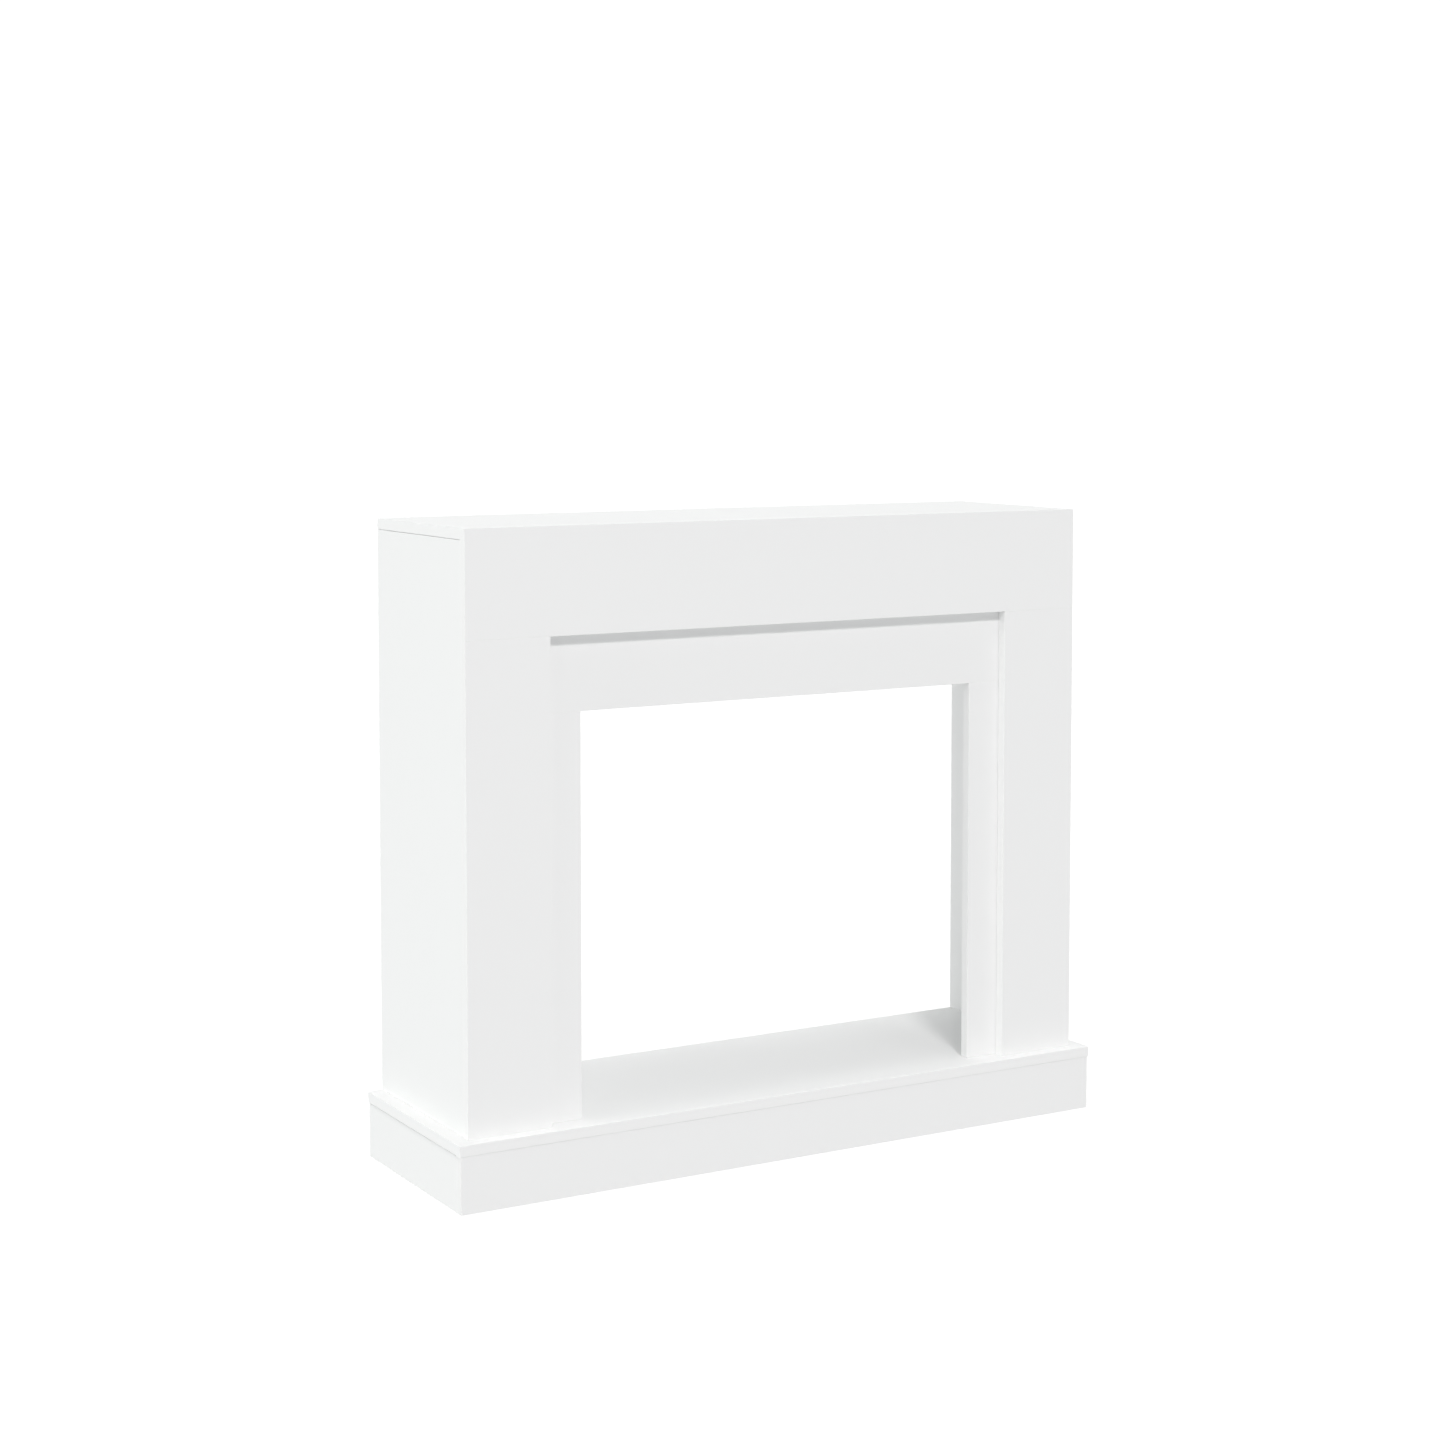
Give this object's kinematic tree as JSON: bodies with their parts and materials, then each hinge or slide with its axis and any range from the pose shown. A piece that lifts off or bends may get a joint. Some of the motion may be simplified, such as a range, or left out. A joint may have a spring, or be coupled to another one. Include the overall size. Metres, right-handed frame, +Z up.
{
  "type": "fireplace mantelpiece",
  "caption": "Free-standing fireplace surround of white boards, with a mantel shelf, a recessed frame round the hearth opening and a plinth base.",
  "frame": {"origin": "middle of the underside, on the floor, at the middle of the slab's width and depth", "axes": "+X to the viewer's right, +Y from the front to the wall, +Z up"},
  "size_m": [1.09, 0.326, 0.95],
  "materials": {
    "white_laminate": "matt white melamine laminate with matching edge banding, on particle board"
  },
  "bodies": {
    "root": {"base_slab": "white_laminate", "plinth_front_board": "white_laminate", "plinth_left_board": "white_laminate", "plinth_right_board": "white_laminate", "plinth_rear_board": "white_laminate", "side_panel_left": "white_laminate", "side_panel_right": "white_laminate", "top_board": "white_laminate", "fascia_header": "white_laminate", "fascia_leg_left": "white_laminate", "fascia_leg_right": "white_laminate", "frame_rail": "white_laminate", "frame_stile_left": "white_laminate", "frame_stile_right": "white_laminate"}
  },
  "joints": []
}
